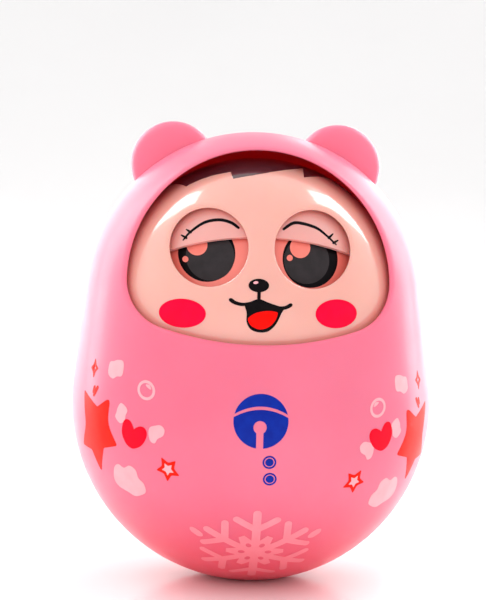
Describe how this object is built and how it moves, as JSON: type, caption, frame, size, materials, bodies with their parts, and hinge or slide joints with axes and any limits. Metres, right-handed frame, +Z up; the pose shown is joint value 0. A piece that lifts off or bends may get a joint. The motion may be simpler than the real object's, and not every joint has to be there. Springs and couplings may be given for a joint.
{
  "type": "roly poly toy",
  "caption": "Weighted egg-shaped tumbler toy with a bear-eared hood, a face that nods, eyelids that blink and a chime inside.",
  "frame": {"origin": "middle of the flat foot, on the surface that the toy stands on", "axes": "+Z up through the crown, the face looks along -Y, +X to the viewer's right"},
  "size_m": [0.14, 0.14, 0.1777],
  "materials": {
    "body_pink": "satin gloss",
    "face_skin": "gloss",
    "eyelid_skin": "gloss",
    "eye_salmon": "gloss",
    "white_plastic": "moulded",
    "steel": "zinc plated",
    "iron": "as cast",
    "striker_wood": "turned beech"
  },
  "bodies": {
    "body": {"front_shell": "body_pink", "rear_shell": "body_pink", "ear_left": "body_pink", "ear_right": "body_pink", "base_weight": "iron", "weight_screws": "steel", "shell_screws": "steel", "nod_pin_left": "steel", "nod_pin_right": "steel", "chime_base": "white_plastic", "chime_rods": "steel", "hammer_bracket": "white_plastic", "hammer_pin": "steel"},
    "head": {"face_mask": "face_skin", "eye_left": "eye_salmon", "eye_right": "eye_salmon", "eye_screws": "steel", "head_frame": "white_plastic", "frame_screws": "steel", "nod_arm": "white_plastic", "arm_screws": "steel", "nod_weight": "steel", "nod_weight_screw": "steel"},
    "eyelids": {"eyelid_left": "eyelid_skin", "eyelid_right": "eyelid_skin", "lid_rod": "steel"},
    "hammer": {"hammer_stem": "steel", "hammer_striker": "striker_wood"}
  },
  "joints": [
    {"name": "nod", "type": "hinge", "parent": "body", "child": "head", "pos_m": [0, -0.01, 0.10846], "axis": [1, 0, 0], "range_deg": [-10, 10]},
    {"name": "blink", "type": "hinge", "parent": "head", "child": "eyelids", "pos_m": [0, -0.01, 0.10846], "axis": [1, 0, 0], "range_deg": [-16, 20]},
    {"name": "hammer_swing", "type": "hinge", "parent": "body", "child": "hammer", "pos_m": [0, 0, 0.036], "axis": [1, 0, 0], "range_deg": [-30, 30]}
  ]
}
